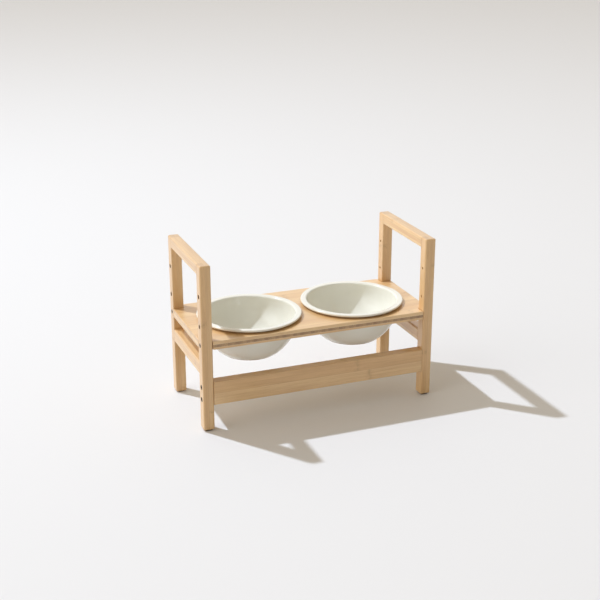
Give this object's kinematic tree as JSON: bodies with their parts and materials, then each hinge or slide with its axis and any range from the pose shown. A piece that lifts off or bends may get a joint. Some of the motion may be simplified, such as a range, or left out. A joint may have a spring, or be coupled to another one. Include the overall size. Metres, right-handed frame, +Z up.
{
  "type": "raised pet feeder",
  "caption": "Raised bamboo pet feeder: end frames with handle rails and peg holes carry a height-adjustable ply shelf, with lift-out glazed ceramic bowls hung in round cut-outs.",
  "frame": {"origin": "on the floor under the middle of the stand", "axes": "+X along the length from the left frame to the right frame, +Y from the stretcher's side to the open back, +Z up"},
  "size_m": [0.4, 0.18, 0.276],
  "materials": {
    "bamboo": "pale honey bamboo strips, satin lacquer",
    "bamboo_ply": "pale bamboo face ply, satin lacquer",
    "bamboo_core": "dark cross-laid core ply seen at the edges",
    "dowel_wood": "plain turned dowel",
    "glazed_ceramic": "glossy off-white glaze, bare foot ring",
    "black_steel": "black oxide",
    "zinc_steel": "zinc plated",
    "rubber": "dark matte foot pad"
  },
  "bodies": {
    "stand": {"left_front_post": "bamboo", "left_front_foot_pad": "rubber", "left_rear_post": "bamboo", "left_rear_foot_pad": "rubber", "right_front_post": "bamboo", "right_front_foot_pad": "rubber", "right_rear_post": "bamboo", "right_rear_foot_pad": "rubber", "left_top_rail": "bamboo", "left_side_rail": "bamboo", "left_top_rail_dowels": "dowel_wood", "left_side_rail_dowels": "dowel_wood", "left_stretcher_bolts": "black_steel", "left_stretcher_nuts": "zinc_steel", "right_top_rail": "bamboo", "right_side_rail": "bamboo", "right_top_rail_dowels": "dowel_wood", "right_side_rail_dowels": "dowel_wood", "right_stretcher_bolts": "black_steel", "right_stretcher_nuts": "zinc_steel", "front_stretcher": "bamboo"},
    "shelf": {"shelf_top_ply": "bamboo_ply", "shelf_core_ply": "bamboo_core", "shelf_bottom_ply": "bamboo_ply"},
    "left_bowl": {"left_bowl": "glazed_ceramic"},
    "right_bowl": {"right_bowl": "glazed_ceramic"},
    "left_front_peg": {"left_front_shelf_peg": "black_steel"},
    "left_rear_peg": {"left_rear_shelf_peg": "black_steel"},
    "right_front_peg": {"right_front_shelf_peg": "black_steel"},
    "right_rear_peg": {"right_rear_shelf_peg": "black_steel"}
  },
  "joints": [
    {"name": "shelf_height", "type": "slide", "parent": "stand", "child": "shelf", "axis": [0, 0, 1], "range_m": [0, 0.08]},
    {"name": "left_bowl_lift", "type": "slide", "parent": "shelf", "child": "left_bowl", "axis": [0, 0, 1], "range_m": [0, 0.08]},
    {"name": "right_bowl_lift", "type": "slide", "parent": "shelf", "child": "right_bowl", "axis": [0, 0, 1], "range_m": [0, 0.08]},
    {"name": "left_front_peg_pull", "type": "slide", "parent": "stand", "child": "left_front_peg", "axis": [-1, 0, 0], "range_m": [0, 0.036]},
    {"name": "left_rear_peg_pull", "type": "slide", "parent": "stand", "child": "left_rear_peg", "axis": [-1, 0, 0], "range_m": [0, 0.036]},
    {"name": "right_front_peg_pull", "type": "slide", "parent": "stand", "child": "right_front_peg", "axis": [1, 0, 0], "range_m": [0, 0.036]},
    {"name": "right_rear_peg_pull", "type": "slide", "parent": "stand", "child": "right_rear_peg", "axis": [1, 0, 0], "range_m": [0, 0.036]}
  ]
}
